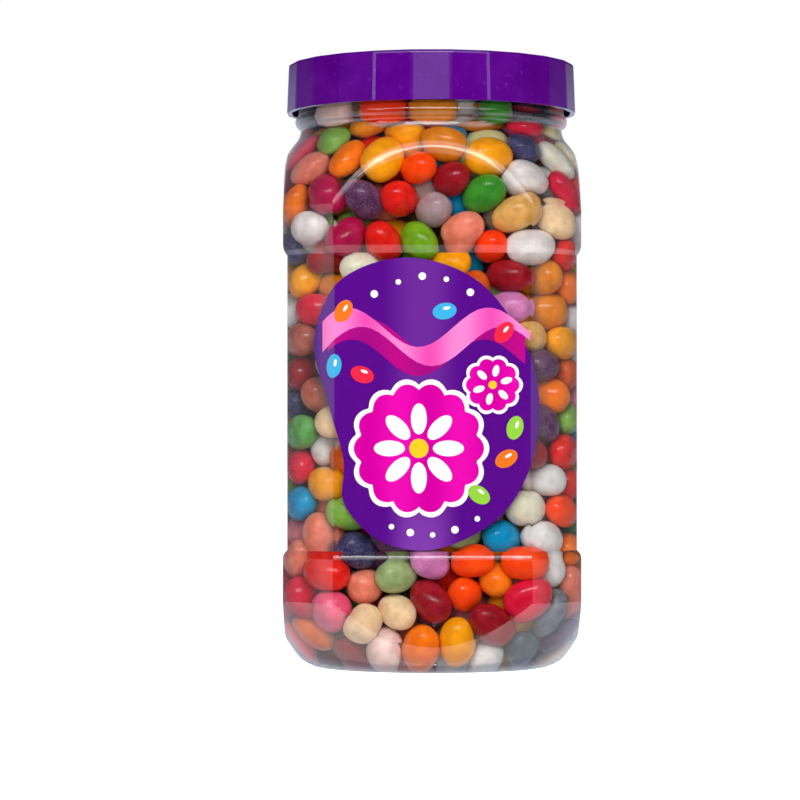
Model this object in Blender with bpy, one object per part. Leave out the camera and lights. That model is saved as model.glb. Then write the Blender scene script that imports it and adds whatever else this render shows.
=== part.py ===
"""Jar of jelly beans: a clear square plastic jar with a faceted screw lid, a label and its sweets.

Metres, +Z up. The origin is the middle of the circle that the jar stands on. -Y is the front.
"""

import math

import bmesh
import bpy

MM = 0.001

# Driving sizes of the jar
BAND_HALF = 44.2 * MM        # half the width across the flats, at the upper and lower bands
TURNED_RADIUS = 52.8 * MM    # the round body that the four flats are cut into
WAIST_DEPTH = 1.3 * MM       # how far the label panel lies back from the bands
WALL = 1.2 * MM
MOUTH_Z = 180.6 * MM
NECK_OUTER = 40.2 * MM       # the straight finish that the lid screws on
NECK_INNER = 38.8 * MM
NECK_ROOT_Z = 162.0 * MM
FILLET = 0.3 * MM            # softness of the edges round a flat
SLOPE_LIMIT = 1.5            # steepest slope for which a wall's inset is corrected

# Heights where the flats step in to the label panel and out again
STEP_LOW = (32.4 * MM, 35.2 * MM)
STEP_HIGH = (124.0 * MM, 127.2 * MM)

# Outlines of the turned parts, as (radius, height) in millimetres
BASE_CONE = [(35.0, 0.0), (38.2, 0.8), (40.2, 2.4), (41.6, 4.2), (44.2, 8.0), (65.9, 40.0)]
SHOULDER = [
    (62.0, 117.0), (56.0, 130.5), (52.8, 138.0), (50.4, 143.5), (48.2, 148.4), (45.6, 152.8),
    (43.1, 156.8), (41.4, 159.2), (40.2, 161.2), (39.65, 163.0), (40.6, 163.6), (41.3, 164.1),
    (41.6, 165.3), (41.3, 166.4), (40.2, 166.9),
]
PUSH_UP = [(9.0, 4.4), (18.0, 4.0), (26.0, 2.6), (30.0, 0.5), (31.0, 0.0), (35.0, 0.0)]
PUSH_UP_FLOOR = [(9.0, 5.6), (18.0, 5.2), (26.0, 3.8), (30.0, 1.8), (31.4, 1.2), (34.2, 1.2)]

# Driving sizes of the lid
FACETS = 24
LID_BOTTOM = 167.8 * MM
LID_TOP = 182.6 * MM
LID_APOTHEM = 43.8 * MM      # from the axis to the middle of a facet, at the skirt's foot
LID_DRAFT = 0.6 * MM         # how much less that is at the top
LID_STRIP = 1.1 * MM         # width of the bevel between two facets
LID_WALL = 1.5 * MM
LID_ROOF = 1.6 * MM
LID_RIM = 0.9 * MM           # rounding of the top edge
LID_FOOT = 0.5 * MM          # bevel of the skirt's foot

# The label's outline, unrolled: (distance round the jar from the front's middle, height)
LABEL_OUTLINE = [
    (-7.0, 121.6), (-26.7, 115.2), (-36.3, 97.5), (-31.0, 80.0), (-26.0, 63.0), (-25.6, 49.5),
    (-14.0, 38.4), (3.0, 37.1), (22.0, 48.6), (31.5, 72.0), (28.3, 93.5), (14.0, 114.2),
]
LABEL_GAP = 0.3 * MM
LABEL_THICK = 0.25 * MM
LABEL_FOLD = 3.0 * MM        # width of the strips that it bends in, round a corner

# The sweets, filled to a little below the mouth
HEAP_GAP = 1.2 * MM
HEAP_TOP = 171.6 * MM
HEAP_SIDES = 40
HEAP_BUMP = 1.2 * MM         # depth of the hollows between sweets
HEAP_NECK_GAP = 1.0 * MM     # gap to the neck's bore
HEAP_RIM = 4.0 * MM          # how far the heap's edge lies below its top
BEAN_PITCH = 14.0 * MM       # about one sweet, so one bump
HEAP_FLOOR = [(10.0, 6.2), (20.0, 5.8), (27.0, 4.4), (33.0, 2.6)]
HEAP_CROWN = [(33.0, 1.0), (23.0, 2.5), (12.0, 4.0)]    # (radius, turn of the waves)


def between(outline, z):
    """Radius, in metres, of a turned outline of (radius, height) millimetres at the height z."""
    height = z / MM
    if height <= outline[0][1]:
        return outline[0][0] * MM
    for (r0, z0), (r1, z1) in zip(outline, outline[1:]):
        if height <= z1:
            share = (height - z0) / (z1 - z0)
            return (r0 + (r1 - r0) * share) * MM
    return outline[-1][0] * MM


def steepness(outline, z):
    """How much longer than the wall a level cut through a sloping wall is."""
    step = 0.4 * MM
    slope = (between(outline, z + step) - between(outline, z - step)) / (2 * step)
    return math.sqrt(1 + min(abs(slope), SLOPE_LIMIT) ** 2)


def soft_min(values, softness):
    """The smallest value, rounded where two are nearly equal."""
    lowest = min(values)
    return lowest - softness * math.log(sum(math.exp((lowest - v) / softness) for v in values))


def waist_share(z):
    """0 at the bands and 1 at the label panel, sloping between them."""
    low = (z - STEP_LOW[0]) / (STEP_LOW[1] - STEP_LOW[0])
    high = (STEP_HIGH[1] - z) / (STEP_HIGH[1] - STEP_HIGH[0])
    low = max(0.0, min(1.0, low))
    high = max(0.0, min(1.0, high))
    return low * (2 - low) * high * high * (3 - 2 * high)


def flat_radius(angle, half):
    """Distance from the axis to the nearest of the four flats, in the direction angle."""
    folded = abs((angle + math.pi / 4) % (math.pi / 2) - math.pi / 4)
    return half / math.cos(folded)


def body_radius(angle, z, inset=0.0):
    """The jar's form: a turned body with a cone below and a shoulder above, cut by four flats."""
    back = WAIST_DEPTH * waist_share(z) + inset
    cone = between(BASE_CONE, z) - inset * steepness(BASE_CONE, z)
    shoulder = between(SHOULDER, z) - inset * steepness(SHOULDER, z)
    flat = flat_radius(angle, BAND_HALF - back)
    return soft_min([flat, TURNED_RADIUS - back, cone, shoulder], FILLET)


def ring_angles(on_flat, on_corner):
    """Angles of one ring: few across each flat and more round each corner."""
    edge = math.acos(BAND_HALF / TURNED_RADIUS)
    angles = []
    for side in range(4):
        middle = side * math.pi / 2
        angles += [middle - edge + 2 * edge * i / on_flat for i in range(on_flat)]
        turn = math.pi / 2 - 2 * edge
        angles += [middle + edge + turn * i / on_corner for i in range(on_corner)]
    return angles


def loft(rings):
    """One closed body through rings of points, each extruded from the one before."""
    bm = bmesh.new()
    made = bmesh.ops.create_circle(bm, cap_ends=False, segments=len(rings[0]), radius=1.0)
    verts = made["verts"]
    for vert, place in zip(verts, rings[0]):
        vert.co = place
    first = list(bm.edges)
    bmesh.ops.contextual_create(bm, geom=first)
    edges = first
    for ring in rings[1:]:
        made = bmesh.ops.extrude_edge_only(bm, edges=edges)
        fresh = {v for v in made["geom"] if isinstance(v, bmesh.types.BMVert)}
        edges = [e for e in made["geom"]
                 if isinstance(e, bmesh.types.BMEdge) and set(e.verts) <= fresh]
        following = []
        for vert in verts:
            following.append(next(e.other_vert(vert) for e in vert.link_edges
                                  if e.other_vert(vert) in fresh))
        verts = following
        for vert, place in zip(verts, ring):
            vert.co = place
    bmesh.ops.contextual_create(bm, geom=edges)
    bmesh.ops.recalc_face_normals(bm, faces=bm.faces)
    return bm


def material(name, colour, roughness, transmission=0.0):
    made = bpy.data.materials.new(name)
    made.use_nodes = True
    shader = made.node_tree.nodes["Principled BSDF"]
    shader.inputs["Base Color"].default_value = (*colour, 1.0)
    shader.inputs["Roughness"].default_value = roughness
    shader.inputs["Metallic"].default_value = 0.0
    shader.inputs["Transmission Weight"].default_value = transmission
    return made


def node(name, bm, finish):
    """Turns a bmesh into a named object with its own finish, smooth but for its hard edges."""
    if bm.calc_volume(signed=True) < 0:
        bmesh.ops.reverse_faces(bm, faces=bm.faces)
    mesh = bpy.data.meshes.new(name)
    bm.to_mesh(mesh)
    bm.free()
    mesh.shade_smooth()
    mesh.set_sharp_from_angle(angle=math.radians(30))
    mesh.materials.append(finish)
    made = bpy.data.objects.new(name, mesh)
    bpy.context.collection.objects.link(made)
    return made


def polar(angle, radius, z):
    return (radius * math.cos(angle), radius * math.sin(angle), z)


def make_jar():
    """The clear shell: the outside from the base up to the mouth, then the inside back down."""
    angles = ring_angles(on_flat=7, on_corner=5)
    outside = [0.8, 2.4, 4.2, 8.0, 12.5, 17.0, 21.5, 26.0, 32.4, 33.2, 34.1, 35.2, 80.0, 124.0,
               125.0, 126.2, 127.2, 132.0, 137.0, 142.0, 147.0, 151.0, 154.5, 157.5, 160.0, 162.0,
               163.0, 164.1, 165.3, 166.4, 166.9]
    inside = [161.0, 158.5, 155.5, 152.0, 147.5, 142.5, 137.5, 132.5, 127.2, 126.2, 125.0, 124.0,
              80.0, 35.2, 34.1, 33.2, 32.4, 27.0, 22.0, 17.0, 12.0, 8.0, 5.0, 3.0]
    rings = [[polar(a, r * MM, z * MM) for a in angles] for r, z in PUSH_UP]
    for height in outside:
        rings.append([polar(a, body_radius(a, height * MM), height * MM) for a in angles])
    rings.append([polar(a, NECK_OUTER, MOUTH_Z) for a in angles])
    rings.append([polar(a, NECK_INNER, MOUTH_Z) for a in angles])
    rings.append([polar(a, NECK_INNER, NECK_ROOT_Z) for a in angles])
    for height in inside:
        rings.append([polar(a, body_radius(a, height * MM, WALL), height * MM) for a in angles])
    rings += [[polar(a, r * MM, z * MM) for a in angles] for r, z in reversed(PUSH_UP_FLOOR)]
    return node("jar", loft(rings), material("clear_plastic", (0.93, 0.95, 0.97), 0.03, 1.0))


def make_lid():
    """The cap: a skirt of flat facets with a bevel between them, open below."""
    half_turn = math.pi / FACETS
    flat_half = LID_APOTHEM * math.tan(half_turn) - LID_STRIP / 2
    lean = math.atan2(flat_half, LID_APOTHEM)
    reach = 1 / math.cos(lean)
    angles = []
    for facet in range(FACETS):
        middle = 2 * half_turn * facet
        angles += [middle - lean, middle + lean]
    top = LID_APOTHEM - LID_DRAFT
    skirt = [
        (top - LID_RIM, LID_TOP), (top - LID_RIM / 3, LID_TOP - LID_RIM / 3),
        (top, LID_TOP - LID_RIM), (LID_APOTHEM, LID_BOTTOM + LID_FOOT),
        (LID_APOTHEM - LID_FOOT, LID_BOTTOM),
    ]
    rings = [[polar(a, apothem * reach, z) for a in angles] for apothem, z in skirt]
    bore = top - LID_WALL
    ceiling = LID_TOP - LID_ROOF
    rings.append([polar(a, bore, LID_BOTTOM) for a in angles])
    rings.append([polar(a, bore, ceiling) for a in angles])
    return node("lid", loft(rings), material("violet_plastic", (0.09, 0.0, 0.21), 0.3))


def smooth_closed(points, steps):
    """A smooth closed curve through the points, with a few steps from each to the next."""
    curve = []
    count = len(points)
    for i in range(count):
        p = [points[(i + k - 1) % count] for k in range(4)]
        for step in range(steps):
            t = step / steps
            weights = (
                -0.5 * t + t * t - 0.5 * t ** 3,
                1 - 2.5 * t * t + 1.5 * t ** 3,
                0.5 * t + 2 * t * t - 1.5 * t ** 3,
                -0.5 * t * t + 0.5 * t ** 3,
            )
            curve.append(tuple(sum(w * q[axis] for w, q in zip(weights, p)) for axis in (0, 1)))
    return curve


def flat_reach(proud):
    """Half the width of the label panel's flat, for a film that stands proud of it."""
    half = BAND_HALF - WAIST_DEPTH + proud
    return math.sqrt((TURNED_RADIUS - WAIST_DEPTH + proud) ** 2 - half ** 2)


def wrap(along, height, proud):
    """Bends an unrolled point round the label panel, standing proud of it."""
    radius = TURNED_RADIUS - WAIST_DEPTH + proud
    reach = flat_reach(proud)
    if abs(along) <= reach:
        return (along, -(BAND_HALF - WAIST_DEPTH + proud), height)
    angle = math.asin(reach / radius) + (abs(along) - reach) / radius
    return (math.copysign(radius * math.sin(angle), along), -radius * math.cos(angle), height)


def make_label():
    """A thin film on the front panel, which reaches a little way round the left corner."""
    bm = bmesh.new()
    rim = [bm.verts.new((x * MM, 0.0, z * MM)) for x, z in smooth_closed(LABEL_OUTLINE, 4)]
    edges = [bm.edges.new((a, b)) for a, b in zip(rim, rim[1:] + rim[:1])]
    bmesh.ops.contextual_create(bm, geom=edges)
    flat = flat_reach(LABEL_GAP)
    for fold in range(4):
        for side in (-1, 1):
            place = side * (flat + fold * LABEL_FOLD)
            bmesh.ops.bisect_plane(bm, geom=bm.verts[:] + bm.edges[:] + bm.faces[:],
                                   plane_co=(place, 0, 0), plane_no=(1, 0, 0))
    back = set(bm.verts)
    bmesh.ops.extrude_face_region(bm, geom=list(bm.faces))
    for vert in bm.verts:
        proud = LABEL_GAP if vert in back else LABEL_GAP + LABEL_THICK
        vert.co = wrap(vert.co.x, vert.co.z, proud)
    bmesh.ops.recalc_face_normals(bm, faces=bm.faces)
    return node("label", bm, material("printed_film", (0.09, 0.0, 0.21), 0.35))


def make_heap():
    """The sweets as one solid out to their uneven outline, just inside the jar's wall."""
    angles = [2 * math.pi * (i + 0.5) / HEAP_SIDES for i in range(HEAP_SIDES)]
    inset = WALL + HEAP_GAP
    rings = [[polar(a, r * MM, z * MM) for a in angles] for r, z in HEAP_FLOOR]
    low = HEAP_FLOOR[-1][1] * MM + BEAN_PITCH / 4
    rim = HEAP_TOP - HEAP_RIM
    levels = round(2 * (rim - low) / BEAN_PITCH)
    for level in range(levels + 1):
        z = low + (rim - low) * level / levels
        ring = []
        for i, a in enumerate(angles):
            room = body_radius(a, z, inset)
            if z > NECK_ROOT_Z - BEAN_PITCH / 4:
                room = min(room, NECK_INNER - HEAP_NECK_GAP)
            hollow = HEAP_BUMP * ((i + level) % 2)
            ring.append(polar(a, room - hollow, z))
        rings.append(ring)
    for radius, turn in HEAP_CROWN:
        rings.append([polar(a, radius * MM, HEAP_TOP - HEAP_BUMP * (1 - math.sin(5 * a + turn)))
                      for a in angles])
    return node("jelly_beans", loft(rings), material("sweets", (0.75, 0.25, 0.12), 0.35))


def main():
    for old in list(bpy.data.objects):
        bpy.data.objects.remove(old, do_unlink=True)
    make_jar()
    make_lid()
    make_label()
    make_heap()


main()
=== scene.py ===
# %% [markdown]
# # A jar of jelly beans
# A clear square jar of blow-moulded plastic, with a faceted screw lid, a film label and about
# 560 small sweets inside. This lesson builds the parts in the order in which light meets them:
# the clear wall, the lid, the label, and then the sweets, which are packed by a small
# simulation so that they lie against the wall and each other as poured sweets do.
# Everything sits in the frame of the CAD model, in metres, +Z up, with the front towards -Y.

# %% Load the frame
import math

import bmesh
import bpy
import numpy as np
from mathutils import Matrix, Vector


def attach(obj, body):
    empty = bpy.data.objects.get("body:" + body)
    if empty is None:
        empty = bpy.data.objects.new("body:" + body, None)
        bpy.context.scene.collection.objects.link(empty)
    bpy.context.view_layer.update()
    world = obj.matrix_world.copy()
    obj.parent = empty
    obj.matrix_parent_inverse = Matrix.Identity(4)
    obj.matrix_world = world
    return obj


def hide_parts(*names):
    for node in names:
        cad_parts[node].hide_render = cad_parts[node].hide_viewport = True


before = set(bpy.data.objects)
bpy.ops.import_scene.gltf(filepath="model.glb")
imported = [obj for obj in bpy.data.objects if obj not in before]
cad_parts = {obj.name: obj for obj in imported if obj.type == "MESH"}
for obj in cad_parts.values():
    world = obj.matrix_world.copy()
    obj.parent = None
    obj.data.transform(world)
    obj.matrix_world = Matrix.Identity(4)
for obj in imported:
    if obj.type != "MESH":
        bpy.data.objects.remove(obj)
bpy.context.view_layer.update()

MM = 0.001

# %% [markdown]
# ## The camera
# A long lens, close to the height of the jar's lower third and almost level, so that the sides
# stay upright. It points very slightly up. The jar stands a little to the right of the middle.

# %% Camera
CAMERA_PLACE = (-9.5 * MM, -961 * MM, 68.4 * MM)
CAMERA_RISE = math.radians(0.73)
LENS = 141.75

camera_data = bpy.data.cameras.new("camera")
camera_data.lens = LENS
camera_data.sensor_width = 36.0
camera_data.clip_start = 0.01
camera = bpy.data.objects.new("camera", camera_data)
camera.location = CAMERA_PLACE
camera.rotation_euler = (math.pi / 2 + CAMERA_RISE, 0.0, 0.0)
bpy.context.collection.objects.link(camera)
bpy.context.scene.camera = camera
print("camera", round(-CAMERA_PLACE[1] / MM), "mm in front of the axis")

# %% [markdown]
# ## Helpers for pieces
# Each finished piece is a mesh object at the origin, riding on the model's one body and
# standing for a CAD node. Small helpers keep that bookkeeping in one place.

# %% Piece helper
def piece(name, bm, finish, stands_for, smooth=True):
    """Turns a bmesh into a finished object that rides on the jar."""
    mesh = bpy.data.meshes.new(name)
    bm.to_mesh(mesh)
    bm.free()
    if smooth:
        mesh.shade_smooth()
    mesh.materials.append(finish)
    made = bpy.data.objects.new(name, mesh)
    bpy.context.collection.objects.link(made)
    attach(made, "root")
    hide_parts(stands_for)
    print(f"{name}: {len(mesh.polygons)} faces")
    return made


def linear(hex_colour):
    """A colour written as in a paint chart, #RRGGBB, as the linear values that Blender uses."""
    channels = [int(hex_colour[i:i + 2], 16) / 255 for i in (1, 3, 5)]
    return tuple(c / 12.92 if c <= 0.04045 else ((c + 0.055) / 1.055) ** 2.4 for c in channels)


# %% Material helper
class Finish:
    """A Principled material with a few short ways to add nodes to it."""

    def __init__(self, name):
        self.material = bpy.data.materials.new(name)
        self.material.use_nodes = True
        self.tree = self.material.node_tree
        self.shader = self.tree.nodes["Principled BSDF"]
        self.output = self.tree.nodes["Material Output"]
        self.place = self.tree.nodes.new("ShaderNodeTexCoord").outputs["Object"]

    def set(self, **values):
        """Sets sockets of the shader: Base_Color="..." writes Base Color, and so on."""
        for name, value in values.items():
            self.shader.inputs[name.replace("_", " ")].default_value = value

    def link(self, start, end):
        self.tree.links.new(start, end)

    def noise(self, size, detail=2.0, place=None):
        """Soft noise whose blotches are about size metres across."""
        made = self.tree.nodes.new("ShaderNodeTexNoise")
        made.inputs["Scale"].default_value = 1.0 / size
        made.inputs["Detail"].default_value = detail
        self.link(place or self.place, made.inputs["Vector"])
        return made.outputs["Fac"]

    def ramp(self, value, low, high, to_low=0.0, to_high=1.0):
        """Maps low..high to to_low..to_high, smoothly."""
        made = self.tree.nodes.new("ShaderNodeMapRange")
        made.interpolation_type = "SMOOTHSTEP"
        for name, number in (("From Min", low), ("From Max", high),
                             ("To Min", to_low), ("To Max", to_high)):
            made.inputs[name].default_value = number
        self.link(value, made.inputs["Value"])
        return made.outputs["Result"]

    def math(self, kind, a, b):
        """One Math node on two values, each a socket or a number."""
        made = self.tree.nodes.new("ShaderNodeMath")
        made.operation = kind
        for slot, value in zip(made.inputs, (a, b)):
            if isinstance(value, (int, float)):
                slot.default_value = value
            else:
                self.link(value, slot)
        return made.outputs[0]

    def mix(self, factor, a, b, blend="MIX"):
        """Mixes two colours, each a socket or an RGB triple."""
        made = self.tree.nodes.new("ShaderNodeMix")
        made.data_type = "RGBA"
        made.blend_type = blend
        if isinstance(factor, (int, float)):
            made.inputs["Factor"].default_value = factor
        else:
            self.link(factor, made.inputs["Factor"])
        for name, value in (("A", a), ("B", b)):
            slot = next(s for s in made.inputs if s.name == name and s.type == "RGBA")
            if isinstance(value, tuple):
                slot.default_value = (*value[:3], 1.0)
            else:
                self.link(value, slot)
        return next(s for s in made.outputs if s.type == "RGBA")

    def bump(self, height, strength, distance):
        made = self.tree.nodes.new("ShaderNodeBump")
        made.inputs["Strength"].default_value = strength
        made.inputs["Distance"].default_value = distance
        self.link(height, made.inputs["Height"])
        self.link(made.outputs["Normal"], self.shader.inputs["Normal"])
        return made.outputs["Normal"]

    def attribute(self, name):
        made = self.tree.nodes.new("ShaderNodeAttribute")
        made.attribute_name = name
        return made.outputs["Fac"]


print("helpers ready")

# %% [markdown]
# ## The form of the jar
# The body is a turned one: a cone at the base, a round barrel and a domed shoulder. Four flats
# are cut into it. Where a flat meets the cone or the dome its edge is an arch, and where it
# meets the barrel its edge is upright, which is why each face of such a jar is a tall window
# with a round top and foot. So the form is one formula: at each height, in each direction, the
# nearest of the surfaces, with a soft edge between them. The sizes repeat those of the CAD
# model. The turned outlines are smoothed, since a mould has no corners.

# %% Sizes of the jar
BAND_HALF = 44.2 * MM
TURNED_RADIUS = 52.8 * MM
WAIST_DEPTH = 1.3 * MM
WALL = 1.2 * MM
MOUTH_Z = 180.6 * MM
NECK_OUTER = 40.2 * MM
NECK_INNER = 38.8 * MM
NECK_ROOT_Z = 162.0 * MM
FILLET = 0.06 * MM
FILLET_INSIDE = 0.15 * MM
CHAMFER = ((0.130, 0.155), (0.15 * MM, 0.38 * MM))
STEP_LOW = (32.7 * MM, 35.9 * MM)
STEP_HIGH = (123.1 * MM, 126.5 * MM)
BASE_CONE = [(35.0, 0.0), (38.2, 0.8), (40.2, 2.4), (41.6, 4.2), (44.2, 8.0), (65.9, 40.0)]
SHOULDER = [
    (62.0, 117.0), (56.0, 130.5), (52.8, 138.0), (50.4, 143.5), (48.2, 148.4), (45.6, 152.8),
    (43.0, 156.8), (41.75, 158.2), (40.95, 159.2), (40.25, 160.3), (39.9, 161.5), (39.8, 162.4),
    (39.9, 163.0), (40.6, 163.4), (41.2, 164.0), (41.5, 164.8), (41.5, 165.6),
    (41.15, 166.4), (40.6, 167.0), (40.2, 167.5),
    (40.2, 184.0),
]
PUSH_UP = [(0.0, 4.6), (9.0, 4.4), (18.0, 4.0), (26.0, 2.6), (30.0, 0.5), (31.0, 0.0), (35.0, 0.0)]
STEP = 0.1 * MM
HEIGHTS = np.arange(-20 * MM, 190 * MM, STEP)


def smoothed(outline, blur):
    """Radius at every one of HEIGHTS, with the corners of the outline rounded."""
    radii, heights = np.array(outline).T * MM
    values = np.interp(HEIGHTS, heights, radii)
    reach = int(4 * blur / STEP)
    weights = np.exp(-0.5 * (np.arange(-reach, reach + 1) * STEP / blur) ** 2)
    return np.convolve(np.pad(values, reach, mode="edge"), weights / weights.sum(), mode="valid")


cone_radii = smoothed(BASE_CONE, 0.5 * MM)
soft_shoulder = smoothed(SHOULDER, 1.6 * MM)
crisp_shoulder = smoothed(SHOULDER, 0.35 * MM)
crisp = np.clip((HEIGHTS - 156 * MM) / (2.5 * MM), 0, 1)
shoulder_radii = soft_shoulder * (1 - crisp) + crisp_shoulder * crisp
print("shoulder radius at 150 mm:", round(float(np.interp(0.150, HEIGHTS, shoulder_radii)) / MM, 2))


# %% The form as a formula
def steepness(radii, z):
    """How much longer than the wall a level cut through a sloping wall is."""
    slope = np.interp(z, HEIGHTS, np.gradient(radii, STEP))
    return np.sqrt(1 + np.minimum(np.abs(slope), 1.5) ** 2)


def waist_share(z, soft=0.0):
    """0 at the bands and 1 at the label panel, sloping between them, softer by soft metres."""
    low = np.clip((z - STEP_LOW[0] + soft) / (STEP_LOW[1] - STEP_LOW[0] + 2 * soft), 0, 1)
    high = np.clip((STEP_HIGH[1] + soft - z) / (STEP_HIGH[1] - STEP_HIGH[0] + 2 * soft), 0, 1)
    if soft:
        return low * low * (3 - 2 * low) * high * high * (3 - 2 * high)
    return low ** 3 * high ** 2.2


def body_radius(angle, z, inset=0.0):
    """The jar's form at an angle and a height, a wall's inset inside."""
    back = WAIST_DEPTH * waist_share(z, soft=2.5 * MM if inset else 0.0) + inset
    folded = np.abs((angle + math.pi / 4) % (math.pi / 2) - math.pi / 4)
    flat = (BAND_HALF - back) / np.cos(folded)
    cone = np.interp(z, HEIGHTS, cone_radii) - inset * steepness(cone_radii, z)
    dome = np.interp(z, HEIGHTS, shoulder_radii) - inset * steepness(shoulder_radii, z)
    surfaces = [flat, TURNED_RADIUS - back, cone, dome]
    if not inset:
        surfaces.append((flat + dome) / 2 - np.interp(z, *CHAMFER))
    values = np.array(np.broadcast_arrays(*surfaces))
    fillet = FILLET_INSIDE if inset else FILLET
    lowest = values.min(axis=0)
    return lowest - fillet * np.log(np.exp((lowest - values) / fillet).sum(axis=0))


print("half width at 20 mm:", round(float(body_radius(-math.pi / 2, 0.020)) / MM, 2))

# %% [markdown]
# ## The clear wall
# The wall is one closed shell: the outside from the middle of the base up to the mouth, over
# the lip, and the inside back down. It starts as one flat grid of quads. Each column becomes a
# direction round the axis and each row a ring of the shell, close together where the form turns
# and far apart where it is straight. Merging doubles closes the seam and both poles.

# %% Rings of the shell
def ring(radius, z):
    """Places of one ring of the wall, at a radius and a height for each column."""
    radius = np.broadcast_to(radius, COLUMN_ANGLES.shape)
    return np.stack([radius * np.cos(COLUMN_ANGLES), radius * np.sin(COLUMN_ANGLES),
                     np.broadcast_to(z, COLUMN_ANGLES.shape)], axis=1)


def crowded(half, spacing):
    """Places from -half to half, about spacing apart but close together near both ends."""
    edge = [half - gap * MM for gap in (0.0, 0.25, 0.6, 1.1)]
    inner = half - 1.1 * MM - spacing
    middle = np.linspace(-inner, inner, round(2 * inner / spacing) + 1)
    return np.concatenate([np.negative(edge), middle, edge[::-1]])


def column_angles():
    """Directions of the columns: over each flat, then over each stretch of barrel."""
    edge = math.acos(BAND_HALF / TURNED_RADIUS)
    on_flat = np.arctan(crowded(TURNED_RADIUS * math.sin(edge), 1.1 * MM) / BAND_HALF)
    on_barrel = crowded(TURNED_RADIUS * (math.pi / 4 - edge), 1.0 * MM)[1:-1] / TURNED_RADIUS
    quarter = np.concatenate([on_flat, math.pi / 4 + on_barrel])
    turns = np.arange(4) * math.pi / 2
    angles = (turns[:, None] + quarter[None, :]).ravel()
    return np.append(angles, angles[0] + 2 * math.pi)


COLUMN_ANGLES = column_angles()
NEAREST = np.minimum(
    BAND_HALF / np.cos(np.abs((COLUMN_ANGLES + math.pi / 4) % (math.pi / 2) - math.pi / 4)),
    TURNED_RADIUS)


def meeting(radii, low, high, reach, inset):
    """Height in each column, from low to high, where a turned outline has the radius reach."""
    part = (HEIGHTS > low * MM) & (HEIGHTS < high * MM)
    inside = (radii - inset * steepness(radii, HEIGHTS))[part]
    order = np.argsort(inside)
    return np.interp(reach - inset, inside[order], HEIGHTS[part][order])


def levels(stops):
    """Heights for rows of the shell, from (height, rows up to the next) with the height in mm.

    A height is a number or one value for each column, so that rows can follow an arch."""
    rows = []
    for (low, count), (high, _) in zip(stops, stops[1:]):
        low, high = (np.broadcast_to(v, NEAREST.shape) * MM for v in (low, high))
        rows += [low + (high - low) * i / count for i in range(count)]
    return rows + [np.broadcast_to(stops[-1][0], NEAREST.shape) * MM]


def wall_rows(inset, fineness):
    """Rows of one side of the wall, close together at the arches and at the steps."""
    foot = meeting(cone_radii, 1, 40, NEAREST, inset) / MM
    ease = 2 * np.interp(0.150, *CHAMFER)
    arch_low = meeting(shoulder_radii, 118, 160, NEAREST + ease, inset) / MM
    arch_high = meeting(shoulder_radii, 118, 160, NEAREST - ease, inset) / MM

    def n(count):
        return max(1, round(count * fineness))

    start = 1.3 if inset else 0.0
    return levels([
        (start, n(10)), (foot - 0.4, 1), (foot - 0.12, 1), (foot + 0.12, 1), (foot + 0.4, n(12)),
        (32.2, n(13)), (35.9, n(18)), (123.1, n(12)), (127.0, n(12)), (arch_low - 0.4, 1),
        (arch_low - 0.12, 1), (arch_low + 0.12, n(6)), (arch_high - 0.12, 1),
        (arch_high + 0.12, 1), (arch_high + 0.4, n(14)), (160.2, n(28)), (167.2, n(4)),
        (MOUTH_Z / MM, 1)])


def base_height(radius):
    radii, heights = np.array(PUSH_UP).T * MM
    smooth = [np.interp(radius + shift * MM, radii, heights) for shift in (-1.2, -0.4, 0.4, 1.2)]
    return float(np.mean(smooth)) if radius > 0 else float(heights[0])


base_radii = [r * MM for r in (0, 3, 6, 9, 12, 15, 18, 21, 24, 26, 28, 29, 30, 31, 32, 33.5)]
rings = [ring(r, base_height(r)) for r in base_radii]
rings += [ring(body_radius(COLUMN_ANGLES, z), z) for z in wall_rows(0.0, 1.0)]
LIP = 0.25 * MM
rings.append(ring(NECK_INNER + LIP, MOUTH_Z))
for z in reversed(wall_rows(WALL, 0.7)):
    inside = body_radius(COLUMN_ANGLES, z, WALL)
    neck = np.where(z > NECK_ROOT_Z, np.minimum(inside, NECK_INNER), inside)
    rings.append(ring(neck, np.minimum(z, MOUTH_Z - LIP)))
rings += [ring(r, base_height(r) + WALL) for r in reversed(base_radii)]
rings = np.array(rings)
print("shell of", rings.shape[0], "rings and", rings.shape[1] - 1, "columns")

# %% Roll the grid into the wall
bm = bmesh.new()
bmesh.ops.create_grid(bm, x_segments=rings.shape[1] - 1, y_segments=rings.shape[0] - 1, size=0.5)
low_x = min(v.co.x for v in bm.verts)
low_y = min(v.co.y for v in bm.verts)
span_x = max(v.co.x for v in bm.verts) - low_x
span_y = max(v.co.y for v in bm.verts) - low_y
for vert in bm.verts:
    column = round((vert.co.x - low_x) / span_x * (rings.shape[1] - 1))
    row = round((vert.co.y - low_y) / span_y * (rings.shape[0] - 1))
    vert.co = rings[row, column]
bmesh.ops.remove_doubles(bm, verts=bm.verts, dist=0.002 * MM)
bmesh.ops.recalc_face_normals(bm, faces=bm.faces)
print("wall volume", round(bm.calc_volume(signed=True) * 1e6, 1), "cubic cm,",
      "open edges:", sum(not e.is_manifold for e in bm.edges))

# %% [markdown]
# Clear plastic of this kind is smooth outside but not quite flat, as it was blown hot against
# the mould, so reflections wobble a little. A lamp's shadow rays pass straight through it and
# so does light scattered by the sweets, as Blender would otherwise lose most of that light in
# the refraction. A faint blue tint shows where one looks along the wall, at the jar's edges.

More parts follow.
